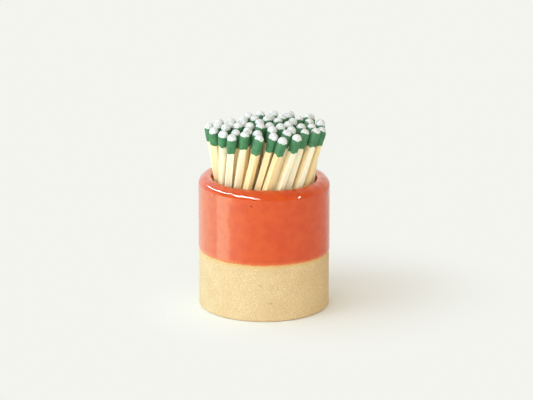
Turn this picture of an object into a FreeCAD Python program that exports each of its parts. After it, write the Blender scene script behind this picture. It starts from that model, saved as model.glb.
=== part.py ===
import FreeCAD, Part
import math
import os
import random

# A small stoneware match striker: a straight-sided pot, glazed above a dip line and left bare below it,
# with a bundle of kitchen matches standing in its bore. A match is struck on the bare clay.
# Millimetres and degrees. The origin is the centre of the base, +Z is up, and the front faces -Y.

# The pot
pot_diameter = 46.0          # over the glaze
pot_height = 47.0
wall_thickness = 4.6         # beside the bore
floor_thickness = 8.7
lip_round = 3.2              # round the outside of the rim
bore_mouth_bevel = 0.9       # round its inside
bore_foot_bevel = 1.0        # where the bore meets the floor
base_bevel = 0.6

# The glaze stands proud of the bare clay and ends at the line that the pot was dipped to
glaze_thickness = 0.25
dip_height = 20.95
dip_slant = 1.3              # the pot went into the glaze slightly askew, deeper towards +X

# One match: a square splint and a dipped head that swells past it
match_length = 60.0
length_play = 0.6            # splints are chopped to no better than this, either way
splint_width = 2.3
splint_edge = 0.1            # worn off the splint's long edges
head_width = 3.4             # across the flats
head_edge = 1.0              # taken off the head's corners, which the dip rounds
head_length = 6.7
head_play = 0.5              # the dip reaches further up some splints than others, either way
tip_length = 2.5             # the paler second dip, from the widest part of the head to its end
tip_width = 1.0              # the small flat that the tip ends in

# The bundle rests against the front of the bore and leaves room to take a match at the back
bundle_fill = 0.58           # share of the bundle's narrowest level that is wood
bundle_back = 2.5            # how far behind the middle of the mouth the last matches pass
splay = 9.0                  # outward lean of a match at the bore's wall
swirl = 17.2                 # sideways lean there, anticlockwise from above
drift_angle_x = 0.7          # lean that all the matches share
drift_angle_y = 2.0
stray_angle = 0.9            # how far a match's own lean strays from the bundle's
match_play = 0.12            # between any two matches, and between a match and the bore
seat_play = 0.03             # under the lowest corner of each match
layout_seed = 11

pot_radius = pot_diameter / 2
clay_radius = pot_radius - glaze_thickness
bore_radius = pot_radius - wall_thickness
bore_depth = pot_height - floor_thickness
lip_outside = min(lip_round, 0.7 * wall_thickness)
lip_inside = min(bore_mouth_bevel, 0.25 * wall_thickness)

# Places along the bundle, measured up from the bore's floor, and how far a match may stand from the middle
steepest = math.radians(max(splay, swirl) + abs(drift_angle_x))
head_rise = (match_length - head_length / 2) * math.cos(math.radians((splay + swirl) / 2))
mouth_share = bore_depth / head_rise
splint_reach = splint_width / math.sqrt(2) / math.cos(steepest) + match_play
mouth_reach = bore_radius - splint_reach
floor_reach = bore_radius - bore_foot_bevel - splint_reach
head_reach = math.hypot(head_width / 2, head_width / 2 - head_edge) / math.cos(steepest)
head_spacing = 2 * head_reach + match_play

# The lean grows evenly from the middle of the mouth to the bore's wall
splay_rate = math.tan(math.radians(splay)) / mouth_reach
swirl_rate = math.tan(math.radians(swirl)) / mouth_reach
drift = (math.tan(math.radians(drift_angle_x)), math.tan(math.radians(drift_angle_y)))


def make_dip_cut():
    """What the glaze adds over the bare clay, below the slanting line that the dip reached."""
    outside = 2 * pot_diameter
    below = Part.makeBox(
        2 * outside, 2 * outside, outside, FreeCAD.Vector(-outside, -outside, dip_height - outside)
    )
    below.rotate(FreeCAD.Vector(0, 0, dip_height), FreeCAD.Vector(0, 1, 0), dip_slant)
    return below.cut(Part.makeCylinder(clay_radius, 2 * outside, FreeCAD.Vector(0, 0, -outside)))


def rings_of(shape, radius, height):
    """The circular edges with that radius that lie at that height."""
    return [
        edge
        for edge in shape.Edges
        if isinstance(edge.Curve, Part.Circle)
        and abs(edge.Curve.Radius - radius) < 1e-6
        and abs(edge.CenterOfMass.z - height) < 1e-6
    ]


def make_pot():
    """The pot: a rounded lip, a bore with a thick floor, and a step where the glaze ends."""
    pot = Part.makeCylinder(pot_radius, pot_height)
    pot = pot.cut(Part.makeCylinder(bore_radius, bore_depth, FreeCAD.Vector(0, 0, floor_thickness)))
    pot = pot.makeFillet(lip_outside, rings_of(pot, pot_radius, pot_height))
    pot = pot.makeChamfer(lip_inside, rings_of(pot, bore_radius, pot_height))
    pot = pot.makeChamfer(bore_foot_bevel, rings_of(pot, bore_radius, floor_thickness))
    pot = pot.cut(make_dip_cut())
    return pot.makeChamfer(base_bevel, rings_of(pot, clay_radius, 0))


class Match:
    """Where a match's axis meets the bore's floor and the level of the heads, and how it is turned."""

    def __init__(self, foot, slope, turn, length, head):
        self.foot = foot
        self.top = [foot[k] + slope[k] * head_rise for k in (0, 1)]
        self.turn = turn
        self.length = length
        self.head = head

    def slope(self):
        return [(self.top[k] - self.foot[k]) / head_rise for k in (0, 1)]

    def axes(self):
        """Unit vectors along the match and square to its two pairs of sides."""
        along = FreeCAD.Vector(*self.slope(), 1).normalize()
        across = FreeCAD.Vector(math.cos(self.turn), math.sin(self.turn), 0)
        across = (across - along * across.dot(along)).normalize()
        return along, across, along.cross(across)

    def section(self):
        """The splint's cross-section on the level, as the two vectors from its middle to its sides."""
        along, across, over = self.axes()
        level = [(side - along * (side.z / along.z)) * (splint_width / 2) for side in (across, over)]
        return [(side.x, side.y) for side in level]

    def move(self, foot_step, top_step, way):
        for k in (0, 1):
            self.foot[k] += foot_step * way[k]
            self.top[k] += top_step * way[k]


def lean_at(x, y):
    """The lean of a match that crosses the mouth there: outwards, round the pot, and shared."""
    return [
        splay_rate * x - swirl_rate * y + drift[0],
        swirl_rate * x + splay_rate * y + drift[1],
    ]


def waist():
    """The bundle's narrowest width as a share of its width at the mouth, above the bore's floor."""
    fall = min(splay_rate / (splay_rate**2 + swirl_rate**2), bore_depth)
    return math.hypot(1 - splay_rate * fall, swirl_rate * fall)


def scattered(count, dice):
    """Matches spread over the mouth in the order of a sunflower's seeds, as far as the bundle's back.

    The count is the one that would fill the whole mouth.
    """
    golden_angle = math.pi * (3 - math.sqrt(5))
    matches = []
    for k in range(count):
        radius = mouth_reach * math.sqrt((k + 0.5) / count)
        angle = k * golden_angle + dice.uniform(-0.3, 0.3)
        mouth = (radius * math.cos(angle), radius * math.sin(angle))
        if mouth[1] > bundle_back:
            continue
        slope = [lean + math.radians(dice.gauss(0, stray_angle)) for lean in lean_at(*mouth)]
        foot = [mouth[k] - slope[k] * bore_depth for k in (0, 1)]
        length = match_length + dice.uniform(-length_play, length_play)
        head = head_length + dice.uniform(-head_play, head_play)
        matches.append(Match(foot, slope, dice.uniform(0, math.pi / 2), length, head))
    return matches


def part_splints(one, other, sides):
    """Pushes two matches apart if their splints overlap, and returns how deep they did.

    Seen on plan from one match, the other's axis is a straight line from its foot to its head. The line
    has to stay outside the two cross-sections added together, so some direction parts them: square to a
    side of either, or to the line. They move along the one that needs the shortest step.
    """
    low = [other.foot[k] - one.foot[k] for k in (0, 1)]
    high = [other.top[k] - one.top[k] for k in (0, 1)]
    clear = 2 * splint_reach
    if any(min(low[k], high[k]) > clear or max(low[k], high[k]) < -clear for k in (0, 1)):
        return 0
    depth, lacks, way = math.inf, None, None
    for side in [*sides, (high[0] - low[0], high[1] - low[1])]:
        size = math.hypot(*side)
        if size == 0:
            continue
        normal = (-side[1] / size, side[0] / size)
        at_low = low[0] * normal[0] + low[1] * normal[1]
        at_high = high[0] * normal[0] + high[1] * normal[1]
        if at_low + at_high < 0:
            normal, at_low, at_high = (-normal[0], -normal[1]), -at_low, -at_high
        need = match_play + sum(abs(s[0] * normal[0] + s[1] * normal[1]) for s in sides)
        if need - min(at_low, at_high) < depth:
            depth = need - min(at_low, at_high)
            lacks = [max(need - at_low, 0) / 2, max(need - at_high, 0) / 2]
            way = normal
    if depth > 0:
        one.move(-lacks[0], -lacks[1], way)
        other.move(*lacks, way)
    return depth


def part_heads(one, other):
    """Leans two matches apart if their heads come too close, and returns by how much they did."""
    gap = [other.top[k] - one.top[k] for k in (0, 1)]
    distance = math.hypot(*gap)
    lack = head_spacing - distance
    if lack > 0:
        way = (gap[0] / distance, gap[1] / distance)
        one.move(0, -lack / 2, way)
        other.move(0, lack / 2, way)
    return lack


def keep_in_bore(match):
    """Moves a match back if it cuts into the bore's wall or passes the mouth behind the bundle."""
    mouth = [match.foot[k] + (match.top[k] - match.foot[k]) * mouth_share for k in (0, 1)]
    over = math.hypot(*mouth) - mouth_reach
    if over > 0:
        size = math.hypot(*mouth)
        match.move(-over / size, -over / size, mouth)
    behind = mouth[1] - bundle_back
    if behind > 0:
        match.move(-behind, -behind, (0, 1))
    under = math.hypot(*match.foot) - floor_reach
    if under > 0:
        match.move(-under / math.hypot(*match.foot), 0, list(match.foot))
    return max(over, behind, under)


def settle(matches):
    """Pushes the matches apart, and says whether they come clear of each other and of the pot."""
    for _ in range(200):
        sections = [match.section() for match in matches]
        worst = 0
        for i, one in enumerate(matches):
            for j in range(i):
                depth = part_splints(one, matches[j], sections[i] + sections[j])
                worst = max(worst, depth, part_heads(one, matches[j]))
        worst = max([worst] + [keep_in_bore(match) for match in matches])
        if worst < match_play / 2:
            return True
    return False


def fill_pot():
    """As many matches as the fill gives, or as many of them as find room."""
    dice = random.Random(layout_seed)
    narrowest = math.pi * (bore_radius * waist()) ** 2
    count = int(bundle_fill * narrowest / splint_width**2)
    matches = scattered(count, dice)
    while not settle(matches):
        count -= max(1, count // 25)
        matches = scattered(count, dice)
    return matches


def ring(height, width, edge):
    """Eight points round the match's axis: a square with its corners taken off."""
    half = width / 2
    quarter = [(half, edge - half), (half, half - edge)]
    points = []
    for turn in range(4):
        points += [FreeCAD.Vector(x, y, height) for x, y in quarter]
        quarter = [(-y, x) for x, y in quarter]
    return points


def make_match(match):
    """A match on its own axis, leaned into place and stood on the bore's floor by its lowest corner."""
    top = match.length
    base = top - match.head
    tip = top - tip_length
    rings = [
        ring(0, splint_width, splint_edge),
        ring(base, splint_width, splint_edge),
        ring(base + 0.4 * (tip - base), 0.9 * head_width, 0.8 * head_edge),
        ring(tip, head_width, head_edge),
        ring(top - tip_length / 3, 0.74 * head_width, 0.9 * head_edge),
        ring(top, tip_width, tip_width / 4),
    ]
    faces = [Part.Face(Part.makePolygon(end + end[:1])) for end in (rings[0], rings[-1])]
    for lower, upper in zip(rings, rings[1:]):
        for k in range(8):
            corners = [lower[k - 1], lower[k], upper[k], upper[k - 1], lower[k - 1]]
            faces.append(Part.Face(Part.makePolygon(corners)))
    solid = Part.makeSolid(Part.makeShell(faces))
    if solid.Volume < 0:
        solid.reverse()

    along, across, over = match.axes()
    lift = splint_width / 2 * (abs(across.z) + abs(over.z)) + seat_play
    slope = match.slope()
    foot = [match.foot[k] + slope[k] * lift for k in (0, 1)]
    solid.transformShape(
        FreeCAD.Matrix(
            across.x, over.x, along.x, foot[0],
            across.y, over.y, along.y, foot[1],
            across.z, over.z, along.z, floor_thickness + lift,
        )
    )
    return solid


def main():
    os.makedirs("parts", exist_ok=True)
    make_pot().exportStep("parts/pot.step")
    solids = [make_match(match) for match in fill_pot()]
    for number, solid in enumerate(solids, 1):
        solid.exportStep(f"parts/match_{number:02d}.step")


main()
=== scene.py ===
import math

import bmesh
import bpy
import numpy as np
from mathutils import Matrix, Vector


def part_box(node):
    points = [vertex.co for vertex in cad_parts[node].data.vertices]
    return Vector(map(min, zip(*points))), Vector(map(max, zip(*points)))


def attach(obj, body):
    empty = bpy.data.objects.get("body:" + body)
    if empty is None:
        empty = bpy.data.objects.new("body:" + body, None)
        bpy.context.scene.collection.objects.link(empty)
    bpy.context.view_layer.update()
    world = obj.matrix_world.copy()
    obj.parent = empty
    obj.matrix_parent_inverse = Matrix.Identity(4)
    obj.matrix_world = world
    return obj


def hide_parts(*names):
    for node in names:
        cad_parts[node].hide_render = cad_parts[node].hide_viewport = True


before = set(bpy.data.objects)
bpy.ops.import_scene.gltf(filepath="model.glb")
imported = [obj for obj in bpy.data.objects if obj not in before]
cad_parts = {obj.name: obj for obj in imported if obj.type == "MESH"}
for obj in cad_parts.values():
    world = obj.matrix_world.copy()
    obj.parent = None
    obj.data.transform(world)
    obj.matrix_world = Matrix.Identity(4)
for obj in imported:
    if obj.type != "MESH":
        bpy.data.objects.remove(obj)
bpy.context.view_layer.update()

mm = 0.001
scene = bpy.context.scene


# Surfaces: the pot and the matches are grids of points, rows by columns, closed round the columns

# Joins grids into one mesh. A grid is (points, u, v, slot): u per column edge, v per row and column, in mm.
# Each face has its corners on two neighbouring rows and columns, and the last column meets the first.
def meshOf(name, grids, materials):
    points, corners, places, slots, start = [], [], [], [], 0
    for grid, u, v, slot in grids:
        rows, columns = grid.shape[:2]
        row, column = np.meshgrid(np.arange(rows - 1), np.arange(columns), indexing="ij")
        rowOf = np.stack([row, row, row + 1, row + 1], -1).reshape(-1, 4)
        columnOf = np.stack([column, column + 1, column + 1, column], -1).reshape(-1, 4)
        corners.append(start + rowOf * columns + columnOf % columns)
        places.append(np.stack([u[columnOf], v[rowOf, columnOf % columns]], -1).reshape(-1, 2))
        slots.append(np.full(len(rowOf), slot))
        points.append(grid.reshape(-1, 3))
        start += rows * columns
    corners, places, slots = np.concatenate(corners), np.concatenate(places), np.concatenate(slots)
    mesh = bpy.data.meshes.new(name)
    mesh.from_pydata(np.concatenate(points).tolist(), [], corners.tolist())
    mesh.uv_layers.new(name="mmAlong").data.foreach_set("uv", places.ravel())
    for material in materials:
        mesh.materials.append(material)
    mesh.polygons.foreach_set("material_index", slots)
    mesh.polygons.foreach_set("use_smooth", np.ones(len(slots), bool))
    merged = bmesh.new()  # a row of no width becomes one point
    merged.from_mesh(mesh)
    bmesh.ops.remove_doubles(merged, verts=merged.verts, dist=1e-7)
    merged.to_mesh(mesh)
    merged.free()
    piece = bpy.data.objects.new(name, mesh)
    scene.collection.objects.link(piece)
    return piece


# Weight from 0 to 1 between two limits, level at both ends
def easeBetween(low, high, value):
    t = np.clip((value - low) / (high - low), 0, 1)
    return t * t * (3 - 2 * t)


# A slow wander round a circle: a few waves of whole numbers, with amounts and starts drawn by the dice
def wander(angle, waves, dice):
    waves = np.asarray(waves)
    amount = dice.uniform(0.4, 1, len(waves)) / np.sqrt(waves)
    start = dice.uniform(0, 2 * np.pi, len(waves))
    total = (amount * np.sin(np.asarray(angle)[..., None] * waves + start)).sum(-1)
    return total / amount.sum()


# Materials: each is a short tree of nodes

def newMaterial(name):
    material = bpy.data.materials.new(name)
    material.use_nodes = True
    tree = material.node_tree
    tree.nodes.clear()
    return material, tree


def addNode(tree, kind, inputs=None, **settings):
    node = tree.nodes.new("ShaderNode" + kind)
    for name, value in settings.items():
        setattr(node, name, value)
    for name, value in (inputs or {}).items():
        if isinstance(value, bpy.types.NodeSocket):
            tree.links.new(value, node.inputs[name])
        else:
            node.inputs[name].default_value = value
    return node


def calc(tree, operation, first, second=0.0):
    node = addNode(tree, "Math", operation=operation)
    for socket, value in zip(node.inputs, (first, second)):
        if isinstance(value, bpy.types.NodeSocket):
            tree.links.new(value, socket)
        else:
            socket.default_value = value
    return node.outputs[0]


def ease(tree, value, low, high, toLow=0.0, toHigh=1.0):
    inputs = {"Value": value, "From Min": low, "From Max": high, "To Min": toLow, "To Max": toHigh}
    return addNode(tree, "MapRange", inputs, interpolation_type="SMOOTHSTEP").outputs[0]


# The Mix node has a set of sockets for each type of data: 0, 6 and 7 are the weight and the two colours
def mixColours(tree, weight, first, second):
    node = addNode(tree, "Mix", data_type="RGBA")
    for index, value in ((0, weight), (6, first), (7, second)):
        if isinstance(value, bpy.types.NodeSocket):
            tree.links.new(value, node.inputs[index])
        elif index:
            node.inputs[index].default_value = (*value, 1)
        else:
            node.inputs[index].default_value = value
    return node.outputs[2]


# Noise between 0 and 1, in specks about as wide as the size
def noiseOf(tree, place, size, detail, stretch=(1, 1, 1), rough=0.5):
    scale = tuple(share / size for share in stretch)
    scaled = addNode(tree, "Mapping", {"Vector": place, "Scale": scale}).outputs[0]
    inputs = {"Vector": scaled, "Scale": 1, "Detail": detail, "Roughness": rough}
    return addNode(tree, "TexNoise", inputs).outputs[0]


def bumpOf(tree, height, depth, strength, below=None):
    inputs = {"Height": height, "Distance": depth, "Strength": strength}
    if below is not None:
        inputs["Normal"] = below
    return addNode(tree, "Bump", inputs).outputs[0]


def finish(tree, **inputs):
    shader = addNode(tree, "BsdfPrincipled", inputs)
    output = addNode(tree, "OutputMaterial")
    tree.links.new(shader.outputs[0], output.inputs[0])


# An sRGB colour, as it is read off a screen, to the linear one that a shader takes
def screen(red, green, blue):
    share = np.array([red, green, blue]) / 255
    return tuple(np.where(share <= 0.04045, share / 12.92, ((share + 0.055) / 1.055) ** 2.4).tolist())


# The camera, a long lens that looks down a little: metres from the axis and over the table, degrees, and mm
view = {
    "back": 1.414,
    "height": 0.4546,
    "pitch": -16.43,
    "yaw": -0.034,
    "lens": 284.6,
}


def addCamera():
    data = bpy.data.cameras.new("camera")
    data.lens = view["lens"]
    data.sensor_width = 36
    camera = bpy.data.objects.new("camera", data)
    camera.location = (0, -view["back"], view["height"])
    camera.rotation_euler = (math.radians(90 + view["pitch"]), 0, math.radians(view["yaw"]))
    scene.collection.objects.link(camera)
    scene.camera = camera


addCamera()
print("camera set")


# The pot
pot = {
    "bore": 18.4 * mm,
    "floor": 8.7 * mm,
    "lipRound": 3.2 * mm,
    "boreMouthRound": 1.0 * mm,
    "boreFootRound": 1.0 * mm,
    "baseRound": 0.9 * mm,
    "glazeThickness": 0.25 * mm,
    "dipHeight": 20.5 * mm,
    "dipSlant": 0.9,            # degrees, falling towards +X
    "dipWander": 0.16 * mm,     # how uneven the line is
    "dipFade": 0.9 * mm,        # over this height the glaze thins to nothing
    "rimSlant": 0.9,            # degrees, falling towards +X
    "slantFrom": 0.45,          # share of the height where the slant sets in
    "rimWander": 0.12 * mm,
    "rimDrop": 0.4 * mm,        # how much lower the rim is than the solid's
    "turningMarks": 0.035 * mm, # how deep they are
    "markTurn": 2.1,            # radians to the mm of height, about 3 mm from mark to mark
    "footFade": 3.0 * mm,
    "clayRoughness": 0.86,
    "glazeRoughness": 0.06,
    "rippleSize": 3.8 * mm,
    "rippleDepth": 0.30 * mm,
    "rippleOnWall": 0.5,
    "rippleOnLip": 1.3,
    "lipAbove": (20, 23),       # mm above the dip line where the wall turns into the lip
    "columns": 240,
    "seed": 4,
}


# The outline from the middle of the base, out, up the wall, over the lip, down the bore and in again.
# Straight stretches are evenly divided, and each corner is a quarter circle.
def potOutline(radius, height):
    def line(start, end, steps):
        t = np.linspace(0, 1, steps, endpoint=False)[:, None]
        return np.array(start) * (1 - t) + np.array(end) * t

    def quarter(centre, size, start, steps):
        angle = np.radians(np.linspace(start, start + 90, steps, endpoint=False))
        return np.array(centre) + size * np.stack([np.cos(angle), np.sin(angle)], -1)

    base, lip, bore, floor = pot["baseRound"], pot["lipRound"], pot["bore"], pot["floor"]
    mouth, foot = pot["boreMouthRound"], pot["boreFootRound"]
    hollow = np.radians(np.linspace(0, -90, 6, endpoint=False))
    footArc = np.stack([bore - foot + foot * np.cos(hollow), floor + foot + foot * np.sin(hollow)], -1)
    return np.concatenate([
        line((0, 0), (radius - base, 0), 6),
        quarter((radius - base, base), base, -90, 8),
        line((radius, base), (radius, height - lip), 130),
        quarter((radius - lip, height - lip), lip, 0, 18),
        line((radius - lip, height), (bore + mouth, height), 3),
        quarter((bore + mouth, height - mouth), mouth, 90, 9),
        line((bore, height - mouth), (bore, floor + foot), 30),
        footArc,
        line((bore - foot, floor), (0, floor), 6),
        [[0, floor]],
    ])


# The outline turned round the axis. Outside, the radius is the bare clay's plus the glaze, whose thickness
# fades out at the dip line, less shallow turning marks. The upper part is sheared so that the rim slants.
def potSurface():
    low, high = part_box("pot")
    radius, height = (high[0] - low[0]) / 2, high[2]
    outline = potOutline(radius, height)
    angle = np.linspace(0, 2 * np.pi, pot["columns"], endpoint=False)
    dice = np.random.default_rng(pot["seed"])
    r = np.repeat(outline[:, :1], len(angle), 1)
    z = np.repeat(outline[:, 1:], len(angle), 1)
    outside = np.repeat(easeBetween(pot["bore"], pot["bore"] + 2 * mm, outline[:, :1]), len(angle), 1)
    dip = pot["dipHeight"] - math.tan(math.radians(pot["dipSlant"])) * radius * np.cos(angle)
    dip = dip + pot["dipWander"] * wander(angle, [2, 3, 5, 9, 14], dice)
    above = z - dip
    bare = 1 - easeBetween(-0.3 * pot["dipFade"], 0.7 * pot["dipFade"], above)
    sway = 1.3 * np.sin(z / mm * 0.7) + 0.8 * np.sin(angle + z / mm * 0.2)  # makes the marks uneven
    marks = 0.5 + 0.5 * np.sin(z / mm * pot["markTurn"] + sway)
    wall = easeBetween(0, pot["footFade"], z) * outside
    r = r - wall * (bare * pot["glazeThickness"] + (1 - bare) * pot["turningMarks"] * marks)
    r = r - (1 - wall) * outside * pot["glazeThickness"]
    lift = easeBetween(pot["slantFrom"] * height, height, z)
    z = z - lift * np.tan(np.radians(pot["rimSlant"])) * r * np.cos(angle)
    z = z + lift * (pot["rimWander"] * wander(angle, [2, 3, 5], dice) - pot["rimDrop"])
    grid = np.stack([r * np.cos(angle), r * np.sin(angle), z], -1)
    u = np.linspace(0, 2 * np.pi, pot["columns"] + 1) * radius / mm
    bore = (outline[:, 0] <= pot["bore"] + 1e-6) & (outline[:, 1] > 0.5 * pot["floor"])
    above = np.where(bore[:, None], 20 * mm, above)  # the bore is glazed all over
    return grid, u, above / mm, 0


potColours = {
    "glaze": screen(212, 83, 31),
    "glazeThick": screen(205, 73, 29),
    # thin glaze, used at the dip line and, partly as painted sheen, round the mouth
    "glazeThinAndSheen": screen(226, 136, 76),
    "clay": screen(229, 202, 150),
    "clayPale": screen(236, 220, 187),
    "clayDark": screen(190, 148, 95),
    "halo": screen(222, 178, 98),
    # the colour of the painted shade in dents
    "dentShade": screen(150, 104, 64),
    "iron": screen(92, 44, 34),
}

# Specks that the iron in the clay left: degrees round from the front, height and size in mm
ironSpecks = [
    (-11.1, 42.0, 0.50),
    (-48.7, 43.9, 0.44),
    (-9.0, 44.2, 0.36),
    (29.6, 44.9, 0.40),
    (41.4, 21.3, 0.36),
    (-61.4, 19.6, 0.42),
    (-27.4, 20.7, 0.34),
    (-7.0, 20.5, 0.34),
    (54.8, 31.8, 0.34),
    (137.0, 33.0, 0.40),
    (-152.0, 14.0, 0.36),
]

# Painted shade of small dents that the clay surface itself does not have: degrees round from the front,
# height, width and depth of the painted shade
dentShades = [
    (-4.2, 13.4, 0.6, 0.7),
    (-2.4, 13.0, 0.6, 0.65),
    (4.4, 6.9, 0.55, 0.8),
    (6.4, 6.8, 0.55, 0.8),
    (-44.5, 8.3, 0.55, 0.5),
    (33.0, 11.0, 0.55, 0.5),
    (120.0, 9.0, 0.7, 0.5),
    (-110.0, 16.0, 0.6, 0.4),
]


def potMaterial():
    material, tree = newMaterial("glazeOverClay")
    place = addNode(tree, "TexCoord").outputs["Object"]
    along = addNode(tree, "SeparateXYZ", {"Vector": addNode(tree, "UVMap", uv_map="mmAlong").outputs[0]})
    above = along.outputs["Y"]

    ragged = calc(tree, "MULTIPLY", calc(tree, "SUBTRACT", noiseOf(tree, place, 1.1 * mm, 3), 0.5), 0.9)
    edge = calc(tree, "ADD", above, ragged)
    glazed = ease(tree, edge, -0.55, 0.55)

    grog = noiseOf(tree, place, 0.32 * mm, 2)
    sand = noiseOf(tree, place, 0.16 * mm, 1)
    cloud = noiseOf(tree, place, 6 * mm, 2)
    clay = mixColours(tree, ease(tree, grog, 0.35, 0.72), potColours["clayDark"], potColours["clayPale"])
    clay = mixColours(tree, 0.5, clay, potColours["clay"])
    clay = mixColours(tree, ease(tree, sand, 0.62, 0.78, 0, 0.45), clay, potColours["clayDark"])
    clay = mixColours(tree, ease(tree, cloud, 0.35, 0.7, 0, 0.16), clay, potColours["clayDark"])
    halo = ease(tree, above, -1.8, -0.1)
    clay = mixColours(tree, calc(tree, "MULTIPLY", halo, 0.6), clay, potColours["halo"])

    thick = noiseOf(tree, place, 3.0 * mm, 3)
    glaze = mixColours(tree, ease(tree, thick, 0.35, 0.7), potColours["glaze"], potColours["glazeThick"])
    thin = calc(tree, "SUBTRACT", 1.0, ease(tree, edge, -0.2, 1.6))
    glaze = mixColours(tree, calc(tree, "MULTIPLY", thin, 0.55), glaze, potColours["glazeThinAndSheen"])
    # Round the mouth and over the rim top the glaze turns paler in patches: partly thinner glaze over the
    # edge, partly painted sheen
    axis = addNode(tree, "VectorMath", {0: place, 1: (1, 1, 0)}, operation="MULTIPLY").outputs[0]
    fromAxis = addNode(tree, "VectorMath", {0: axis}, operation="LENGTH").outputs["Value"]
    mouthEnd = pot["bore"] + pot["boreMouthRound"] + 1.1 * mm
    mouth = ease(tree, fromAxis, pot["bore"] + 0.1 * mm, mouthEnd, 1, 0)
    patches = ease(tree, noiseOf(tree, place, 2.2 * mm, 2), 0.3, 0.6, 0.25, 0.85)
    thinGlazeAndSheen = calc(tree, "MULTIPLY", mouth, patches)
    glaze = mixColours(tree, thinGlazeAndSheen, glaze, potColours["glazeThinAndSheen"])
    colour = mixColours(tree, glazed, clay, glaze)

    def awayFrom(turn, height):
        radius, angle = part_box("pot")[1][0], math.radians(turn - 90)
        spot = (radius * math.cos(angle), radius * math.sin(angle), height * mm)
        return addNode(tree, "VectorMath", {0: place, 1: spot}, operation="DISTANCE").outputs["Value"]

    # Each dent's shade is painted as a darker spot in the clay colour
    for turn, height, size, shade in dentShades:
        reach = calc(tree, "ADD", awayFrom(turn, height), calc(tree, "MULTIPLY", grog, 0.5 * size * mm))
        dark = ease(tree, reach, 0.4 * size * mm, 1.2 * size * mm, shade, 0)
        colour = mixColours(tree, dark, colour, potColours["dentShade"])
    for turn, height, size in ironSpecks:
        dark = ease(tree, awayFrom(turn, height), 0.4 * size * mm, size * mm, 0.9, 0)
        colour = mixColours(tree, dark, colour, potColours["iron"])
    speck = addNode(tree, "TexVoronoi", {"Vector": place, "Scale": 1 / (2.4 * mm), "Randomness": 1})
    draw = addNode(tree, "SeparateColor", {"Color": speck.outputs["Color"]}).outputs[0]
    chosen = ease(tree, draw, 0.86, 0.9)  # one cell in ten or so has a speck
    tiny = calc(tree, "MULTIPLY", ease(tree, speck.outputs["Distance"], 0.04, 0.1, 1, 0), chosen)
    colour = mixColours(tree, calc(tree, "MULTIPLY", tiny, 0.55), colour, potColours["iron"])

    span = {"Value": glazed, "To Min": pot["clayRoughness"], "To Max": pot["glazeRoughness"]}
    roughness = addNode(tree, "MapRange", span).outputs[0]
    bare = calc(tree, "SUBTRACT", 1.0, glazed)
    grain = calc(tree, "ADD", grog, calc(tree, "MULTIPLY", sand, 0.6))
    normal = bumpOf(tree, calc(tree, "MULTIPLY", grain, bare), 0.10 * mm, 0.8)
    ripple = calc(tree, "MULTIPLY", noiseOf(tree, place, pot["rippleSize"], 1), glazed)
    amount = ease(tree, above, *pot["lipAbove"], pot["rippleOnWall"], pot["rippleOnLip"])
    ripple = calc(tree, "MULTIPLY", ripple, amount)
    normal = bumpOf(tree, ripple, pot["rippleDepth"], 0.85, normal)
    finish(tree, **{"Base Color": colour, "Roughness": roughness, "Normal": normal, "IOR": 1.46})
    return material


potPiece = meshOf("glazedPot", [potSurface()], [potMaterial()])
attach(potPiece, "root")
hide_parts("pot")
print("pot made")


# The matches
match = {
    "splintWidth": 2.3 * mm,
    "splintEnd": 3.0 * mm,      # how far below the tip it ends, inside the head
    "headWidth": 3.5 * mm,
    "domeLength": 2.0 * mm,
    "edgeWidth": 2.7 * mm,      # across the dip where it ends on the splint
    "edgeWander": 0.6 * mm,     # how far its lower edge runs up and down the wood
    "shoulder": 0.95,           # the dome's share of the head's width
    "capLength": 1.65 * mm,     # the white second dip
    "capPlay": 0.4 * mm,
    "lumps": 0.05 * mm,
    "bow": 0.08 * mm,
    "columns": 32,
    "seed": 21,
}


# A match's axis, sides, length and head, read from its solid's points. The middles of its two end rings
# give the axis, and the corners of the foot, their angles taken four times, give the way its sides face.
# The head starts above the longest stretch without a point.
def readMatch(node):
    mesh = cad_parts[node].data
    points = np.empty(len(mesh.vertices) * 3, np.float32)
    mesh.vertices.foreach_get("co", points)
    points = points.reshape(-1, 3).astype(float)
    rough = points[points[:, 2].argmax()] - points[points[:, 2].argmin()]
    along = (points @ rough) / np.linalg.norm(rough)
    ends = []
    for ring in (points[along < along.min() + 0.3 * mm], points[along > along.max() - 0.3 * mm]):
        ends.append((ring.min(0) + ring.max(0)) / 2)
    foot, top = ends
    length = np.linalg.norm(top - foot)
    axis = (top - foot) / length
    ring = points[along < along.min() + 0.3 * mm] - foot
    side = np.cross(axis, (0, 1, 0))
    side /= np.linalg.norm(side)
    other = np.cross(axis, side)
    turn = np.arctan2(ring @ other, ring @ side)
    corner = np.angle(np.exp(4j * turn).sum()) / 4
    face = corner + np.pi / 4
    across = np.cos(face) * side + np.sin(face) * other
    along = np.sort((points - foot) @ axis)
    head = length - along[np.argmax(np.diff(along)) + 1]
    return foot, axis, across, np.cross(axis, across), length, head


# A square with rounded corners: x and y are the cosine and sine, each to the power 2 / squareness
def roundedSquare(angle, squareness):
    power = 2 / squareness
    x, y = np.cos(angle), np.sin(angle)
    return np.sign(x) * np.abs(x) ** power, np.sign(y) * np.abs(y) ** power


# The way round a section of that half width, from its first point to each of the others and back again
def wayRound(angle, squareness, half):
    x, y = roundedSquare(np.append(angle, 2 * np.pi), squareness)
    return np.append(0, np.cumsum(np.hypot(np.diff(x), np.diff(y)))) * half


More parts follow.
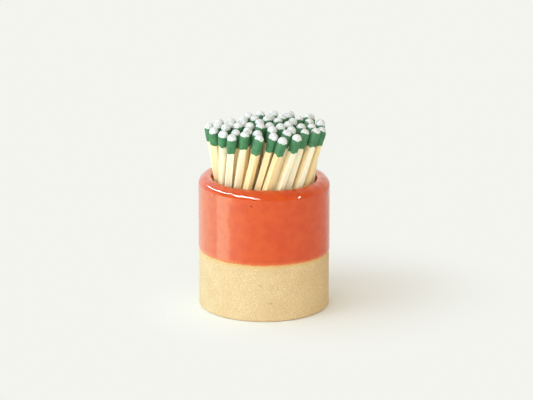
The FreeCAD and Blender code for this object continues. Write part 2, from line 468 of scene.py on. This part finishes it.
# One match along its own axis. The splint is a square tube with a slight bow, closed at its foot, that ends
# inside the head. The head is a dome on a barrel that narrows to the splint, and its lower edge wanders along
# the grain. Its v is mm below the white cap's edge.
def matchGrids(stick, number):
    foot, axis, across, over, length, head = stick
    dice = np.random.default_rng(match["seed"] + number)
    angle = np.linspace(0, 2 * np.pi, match["columns"], endpoint=False)
    shift = 41.7 * number

    def placed(x, y, z):
        return foot + x[..., None] * across + y[..., None] * over + z[..., None] * axis

    half = match["splintWidth"] / 2
    hidden = length - match["splintEnd"]
    steps = np.concatenate([[0, 0, 0.4 * mm], np.linspace(1 * mm, hidden, 14), [hidden]])
    width = np.full(len(steps), half)
    width[[0, -1]] = 0
    width[1] = half - 0.12 * mm
    squareX, squareY = roundedSquare(angle, 12)
    bowX, bowY = dice.uniform(-1, 1, 2) * match["bow"]
    curve = np.sin(np.pi * steps / length) ** 2
    z = np.repeat(steps[:, None], len(angle), 1)
    x = width[:, None] * squareX + (curve * bowX)[:, None]
    y = width[:, None] * squareY + (curve * bowY)[:, None]
    splint = (placed(x, y, z), wayRound(angle, 12, half) / mm + shift, z / mm, 0)

    dome = match["domeLength"]
    cap = match["capLength"] + dice.uniform(-1, 1) * match["capPlay"]
    edge = head + match["edgeWander"] * (wander(angle, [1, 3, 4, 7, 11], dice) - 0.15)
    domeTurn = np.linspace(0, np.pi / 2, 12)
    share = np.linspace(0, 1, 13)[1:]
    fromTip = np.concatenate([
        np.repeat((dome * (1 - np.cos(domeTurn)))[:, None], len(angle), 1),
        dome + share[:, None] * (edge - dome),
        [edge + 0.05 * mm, edge - 0.05 * mm, edge - 0.05 * mm],
    ])
    wide = match["headWidth"] / 2
    narrow = match["edgeWidth"] / 2
    shoulder = match["shoulder"]
    barrel = wide * (1 - (1 - shoulder) * (1 - share) ** 5) + (narrow - wide) * share ** 2.2
    tucked = [narrow - 0.12 * mm, half - 0.15 * mm, 0]
    width = np.concatenate([wide * shoulder * np.sin(domeTurn) ** 0.85, barrel, tucked])
    squareness = np.concatenate([
        np.linspace(2.0, 2.3, 12),
        2.3 + 1.9 * share ** 3,
        [5.5, 9, 9],
    ])[:, None]
    squareX, squareY = roundedSquare(angle, squareness)
    lump = match["lumps"] * (wander(angle, [1, 2, 3], dice) + wander(fromTip / mm * 1.1, [1, 2], dice))
    width = width[:, None] + lump * np.sin(np.pi * np.linspace(0, 1, len(width)))[:, None]
    grid = placed(width * squareX, width * squareY, length - fromTip)
    dipped = (grid[::-1], wayRound(angle, 3, wide) / mm + shift, ((fromTip - cap) / mm)[::-1], 1)
    return [splint, dipped]


woodColours = {
    "pale": screen(255, 251, 222),
    "warm": screen(253, 227, 172),
    "streak": screen(244, 192, 126),
}


def woodMaterial():
    material, tree = newMaterial("splintWood")
    along = addNode(tree, "UVMap", uv_map="mmAlong").outputs[0]
    tone = noiseOf(tree, along, 1.0, 1, (0.11, 0.004, 1))
    grain = noiseOf(tree, along, 1.0, 3, (3.2, 0.05, 1), 0.6)
    fine = noiseOf(tree, along, 1.0, 2, (9.0, 0.35, 1))
    colour = mixColours(tree, ease(tree, tone, 0.42, 0.56), woodColours["pale"], woodColours["warm"])
    colour = mixColours(tree, ease(tree, grain, 0.5, 0.75, 0, 0.55), colour, woodColours["streak"])
    colour = mixColours(tree, ease(tree, fine, 0.55, 0.8, 0, 0.3), colour, woodColours["streak"])
    height = calc(tree, "ADD", grain, calc(tree, "MULTIPLY", fine, 0.7))
    normal = bumpOf(tree, height, 0.06 * mm, 0.7)
    soaked = {"Subsurface Weight": 0.2, "Subsurface Radius": (1.0, 0.8, 0.5), "Subsurface Scale": 0.5 * mm}
    finish(tree, **{"Base Color": colour, "Roughness": 0.62, "Normal": normal, "IOR": 1.45, **soaked})
    return material


headColours = {
    "green": screen(71, 133, 87),
    "greenDark": screen(38, 88, 56),
    "white": screen(230, 233, 231),
    "grey": screen(168, 172, 170),
    "fleck": screen(78, 92, 84),
}


def headMaterial():
    material, tree = newMaterial("dippedHead")
    along = addNode(tree, "UVMap", uv_map="mmAlong").outputs[0]
    place = addNode(tree, "TexCoord").outputs["Object"]
    below = addNode(tree, "SeparateXYZ", {"Vector": along}).outputs["Y"]
    ragged = calc(tree, "MULTIPLY", calc(tree, "SUBTRACT", noiseOf(tree, place, 1.3 * mm, 2), 0.5), 1.6)
    white = ease(tree, calc(tree, "ADD", below, ragged), -0.12, 0.12, 1, 0)
    grain = noiseOf(tree, place, 0.35 * mm, 2)
    cloud = noiseOf(tree, place, 1.4 * mm, 2)
    green = mixColours(tree, ease(tree, cloud, 0.35, 0.7), headColours["green"], headColours["greenDark"])
    green = mixColours(tree, 0.6, green, headColours["green"])
    flecked = ease(tree, noiseOf(tree, place, 0.4 * mm, 1), 0.62, 0.70, 0, 0.7)
    tip = mixColours(tree, ease(tree, cloud, 0.45, 0.75, 0, 0.35), headColours["white"], headColours["grey"])
    tip = mixColours(tree, flecked, tip, headColours["fleck"])
    colour = mixColours(tree, white, green, tip)
    normal = bumpOf(tree, calc(tree, "ADD", grain, calc(tree, "MULTIPLY", white, 0.25)), 0.05 * mm, 0.8)
    finish(tree, **{"Base Color": colour, "Roughness": 0.7, "Normal": normal, "IOR": 1.45})
    return material


def addMatches():
    materials = [woodMaterial(), headMaterial()]
    nodes = sorted(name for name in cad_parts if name.startswith("match_"))
    for number, node in enumerate(nodes):
        grids = matchGrids(readMatch(node), number)
        piece = meshOf(node.replace("match_", "dippedMatch_"), grids, materials)
        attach(piece, "root")
        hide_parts(node)
    return len(nodes)


print("matches made:", addMatches())


# The studio: a pale floor that runs on into a pale world, soft lights from the left and the front, and what
# the glaze mirrors
backdrop = screen(243, 244, 238)

# The floor is lit near the pot and its shadow, and fades into the backdrop's own colour between two distances
# from the middle of both
floorLook = {
    "colour": screen(243, 246, 243),
    "middle": (0.020, 0.004, 0),
    "fade": (0.026, 0.078),
    "reach": 6.0,
}

# Turn is degrees from the camera's side round to the right, and rise is degrees up. Sizes are in metres, and
# the power in watts. Two of the lamps light the pot, and two are only mirrored in its glaze.
lampHeight = 0.03
lamps = {
    "softbox": {
        "turn": -62, "rise": 28, "far": 0.9, "wide": 0.6, "tall": 0.5, "power": 2.5,
        "colour": (0.74, 0.96, 1.12), "lights": True, "mirrored": False,
    },
    "frontFill": {
        "turn": -8, "rise": 14, "far": 0.9, "wide": 0.8, "tall": 0.5, "power": 2.5,
        "colour": (1.0, 0.97, 0.92), "lights": True, "mirrored": False,
    },
    "windowBar": {
        "turn": -68, "rise": 40, "far": 0.9, "wide": 2.2, "tall": 0.045, "power": 34.0,
        "colour": (1.0, 0.98, 0.94), "lights": False, "mirrored": True,
    },
    "doorBar": {
        "turn": 66, "rise": 20, "far": 0.9, "wide": 0.16, "tall": 0.05, "power": 3.0,
        "colour": (1.0, 0.98, 0.94), "lights": False, "mirrored": True,
    },
}
worldLight = {
    "lit": 0.80,
    "mirrored": 0.33,
    "mirroredBehind": 1.4,
    "lean": 0.26,               # how much brighter the left side is than the middle
    "left": (0.94, 0.99, 1.02),
    "right": (1.08, 0.97, 0.80),
}

# The sunlit side of the table: a curved glow round the left that only reflections show, with a brighter band.
# Radius, low and high are in metres, haze and band are strengths, and the rest are degrees or mm.
tableGlow = {
    "radius": 0.05,
    "start": -8,
    "end": -150,
    "low": 0.001,
    "high": 0.045,
    "haze": 2.0,
    "hazeSpread": 50,           # degrees over which it grows
    "band": 2.6,
    "bandStart": -50,
    "bandEnd": -72,
    "bandSoft": 3,              # degrees either side of its edges
    "lowSoft": 2.5 * mm,        # height over which the lower edge fades in
    "colour": (0.58, 1.0, 0.74),
}


def addLamp(name, lamp):
    data = bpy.data.lights.new(name, "AREA")
    data.shape = "RECTANGLE"
    data.size = lamp["wide"]
    data.size_y = lamp["tall"]
    data.energy = lamp["power"]
    data.color = lamp["colour"]
    turn, rise = math.radians(lamp["turn"] - 90), math.radians(lamp["rise"])
    light = bpy.data.objects.new(name, data)
    away = (math.cos(turn) * math.cos(rise), math.sin(turn) * math.cos(rise), math.sin(rise))
    light.location = tuple(lamp["far"] * step for step in away)
    light.location.z += lampHeight
    light.rotation_euler = (math.radians(90 - lamp["rise"]), 0, math.radians(lamp["turn"]))
    light.visible_camera = False
    light.visible_diffuse = lamp["lights"]
    light.visible_glossy = lamp["mirrored"]
    scene.collection.objects.link(light)


def addTableGlow():
    turn = np.linspace(tableGlow["start"], tableGlow["end"], 60)
    angle = np.radians(turn - 90)
    ring = tableGlow["radius"] * np.stack([np.cos(angle), np.sin(angle)], -1)
    rows = [np.column_stack([ring, np.full(len(ring), tableGlow[end])]) for end in ("low", "high")]
    first = np.arange(len(ring) - 1)
    faces = np.stack([first, first + 1, first + 1 + len(ring), first + len(ring)], -1)
    mesh = bpy.data.meshes.new("tableGlow")
    mesh.from_pydata(np.concatenate(rows).tolist(), [], faces.tolist())
    material, tree = newMaterial("tableGlow")
    place = addNode(tree, "SeparateXYZ", {"Vector": addNode(tree, "TexCoord").outputs["Object"]}).outputs
    front = calc(tree, "MULTIPLY", place["Y"], -1)
    around = calc(tree, "MULTIPLY", calc(tree, "ARCTAN2", place["X"], front), -math.degrees(1))
    start, end, soft = -tableGlow["bandStart"], -tableGlow["bandEnd"], tableGlow["bandSoft"]
    hazeStart, low = -tableGlow["start"], tableGlow["low"]
    haze = ease(tree, around, hazeStart, hazeStart + tableGlow["hazeSpread"], 0, tableGlow["haze"])
    haze = calc(tree, "MULTIPLY", haze, ease(tree, around, end, -tableGlow["end"], 1, 0))
    pastStart = ease(tree, around, start - soft, start + soft)
    beforeEnd = ease(tree, around, end - soft, end + soft, 1, 0)
    band = calc(tree, "MULTIPLY", calc(tree, "MULTIPLY", pastStart, beforeEnd), tableGlow["band"])
    glow = calc(tree, "ADD", haze, band)
    glow = calc(tree, "MULTIPLY", glow, ease(tree, place["Z"], low, low + tableGlow["lowSoft"]))
    light = addNode(tree, "Emission", {"Color": (*tableGlow["colour"], 1), "Strength": glow})
    clear = addNode(tree, "BsdfTransparent")
    both = addNode(tree, "AddShader", {0: light.outputs[0], 1: clear.outputs[0]})
    tree.links.new(both.outputs[0], addNode(tree, "OutputMaterial").inputs[0])
    mesh.materials.append(material)
    board = bpy.data.objects.new("tableGlow", mesh)
    board.visible_camera = board.visible_diffuse = board.visible_shadow = False
    scene.collection.objects.link(board)


# What the world shows depends on the ray: the camera sees the backdrop, reflections see a room that is bright
# behind the pot, and the rest get light from a room that is brighter on the left
def addWorld():
    world = bpy.data.worlds.new("paleRoom")
    world.use_nodes = True
    scene.world = world
    tree = world.node_tree
    tree.nodes.clear()
    ray = addNode(tree, "LightPath")
    way = addNode(tree, "SeparateXYZ", {"Vector": addNode(tree, "TexCoord").outputs["Generated"]}).outputs
    mirrored = ease(tree, way["Y"], -0.3, 0.6, worldLight["mirrored"], worldLight["mirroredBehind"])
    span = {"Value": ray.outputs["Is Glossy Ray"], "To Min": worldLight["lit"], "To Max": mirrored}
    strength = addNode(tree, "MapRange", span).outputs[0]
    side = way["X"]
    lean = calc(tree, "SUBTRACT", 1.0, calc(tree, "MULTIPLY", side, worldLight["lean"]))
    strength = calc(tree, "MULTIPLY", strength, lean)
    tint = mixColours(tree, ease(tree, side, -1, 1), worldLight["left"], worldLight["right"])
    light = addNode(tree, "Background", {"Color": tint, "Strength": strength})
    seen = addNode(tree, "Background", {"Color": (*backdrop, 1), "Strength": 1})
    isSeen = ray.outputs["Is Camera Ray"]
    mix = addNode(tree, "MixShader", {0: isSeen, 1: light.outputs[0], 2: seen.outputs[0]})
    tree.links.new(mix.outputs[0], addNode(tree, "OutputWorld").inputs[0])


def addFloor():
    material, tree = newMaterial("paleFloor")
    place = addNode(tree, "TexCoord").outputs["Object"]
    ends = {0: place, 1: floorLook["middle"]}
    away = addNode(tree, "VectorMath", ends, operation="DISTANCE").outputs["Value"]
    isSeen = addNode(tree, "LightPath").outputs["Is Camera Ray"]
    far = calc(tree, "MULTIPLY", ease(tree, away, *floorLook["fade"]), isSeen)
    lit = addNode(tree, "BsdfPrincipled", {"Base Color": (*floorLook["colour"], 1), "Roughness": 0.9})
    plain = addNode(tree, "Emission", {"Color": (*backdrop, 1), "Strength": 1})
    mix = addNode(tree, "MixShader", {0: far, 1: lit.outputs[0], 2: plain.outputs[0]})
    tree.links.new(mix.outputs[0], addNode(tree, "OutputMaterial").inputs[0])
    mesh = bpy.data.meshes.new("floor")
    reach = floorLook["reach"]
    corners = [(-reach, -reach, 0), (reach, -reach, 0), (reach, reach, 0), (-reach, reach, 0)]
    mesh.from_pydata(corners, [], [(0, 1, 2, 3)])
    mesh.materials.append(material)
    floor = bpy.data.objects.new("floor", mesh)
    scene.collection.objects.link(floor)


addWorld()
addFloor()
for name, lamp in lamps.items():
    addLamp(name, lamp)
addTableGlow()
scene.view_settings.view_transform = "Standard"
print("studio lit")
